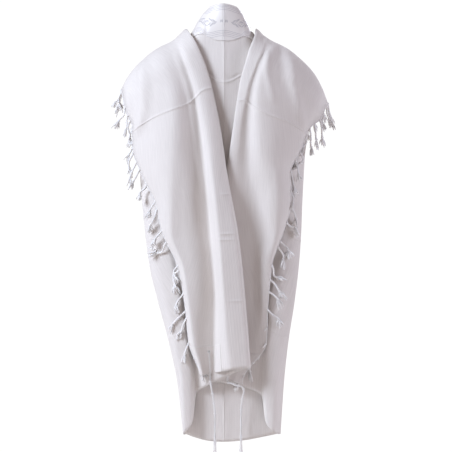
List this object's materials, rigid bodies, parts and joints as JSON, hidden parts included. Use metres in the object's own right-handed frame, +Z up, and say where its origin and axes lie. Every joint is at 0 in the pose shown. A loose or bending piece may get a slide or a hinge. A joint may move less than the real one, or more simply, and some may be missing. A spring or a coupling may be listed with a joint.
{
  "type": "tallit prayer shawl",
  "caption": "White wool tallit gadol folded back over both shoulders, with a satin neckband, fringed side edges and knotted corner tassels.",
  "frame": {"origin": "middle of the neck hollow, level with the line where the cloth rests beside the neck", "axes": "+Z up, +X to the wearer's right, +Y to the wearer's front"},
  "size_m": [0.6204, 0.3402, 1.4044],
  "materials": {
    "back_panel": "matt white wool twill",
    "left_under_fold": "matt white wool twill",
    "right_under_fold": "matt white wool twill",
    "left_flap": "matt white wool twill",
    "right_flap": "matt white wool twill",
    "atarah": "satin with a woven pattern",
    "left_back_corner": "matt white wool twill",
    "right_back_corner": "matt white wool twill",
    "left_front_corner": "matt white wool twill",
    "right_front_corner": "matt white wool twill",
    "left_fringe": "twisted wool thread",
    "right_fringe": "twisted wool thread",
    "left_back_tzitzit": "twisted wool cord",
    "right_back_tzitzit": "twisted wool cord",
    "left_front_tzitzit": "twisted wool cord",
    "right_front_tzitzit": "twisted wool cord"
  },
  "bodies": {
    "root": {"back_panel": "back_panel", "left_under_fold": "left_under_fold", "right_under_fold": "right_under_fold", "left_flap": "left_flap", "right_flap": "right_flap", "atarah": "atarah", "left_back_corner": "left_back_corner", "right_back_corner": "right_back_corner", "left_front_corner": "left_front_corner", "right_front_corner": "right_front_corner", "left_fringe": "left_fringe", "right_fringe": "right_fringe", "left_back_tzitzit": "left_back_tzitzit", "right_back_tzitzit": "right_back_tzitzit", "left_front_tzitzit": "left_front_tzitzit", "right_front_tzitzit": "right_front_tzitzit"}
  },
  "joints": []
}
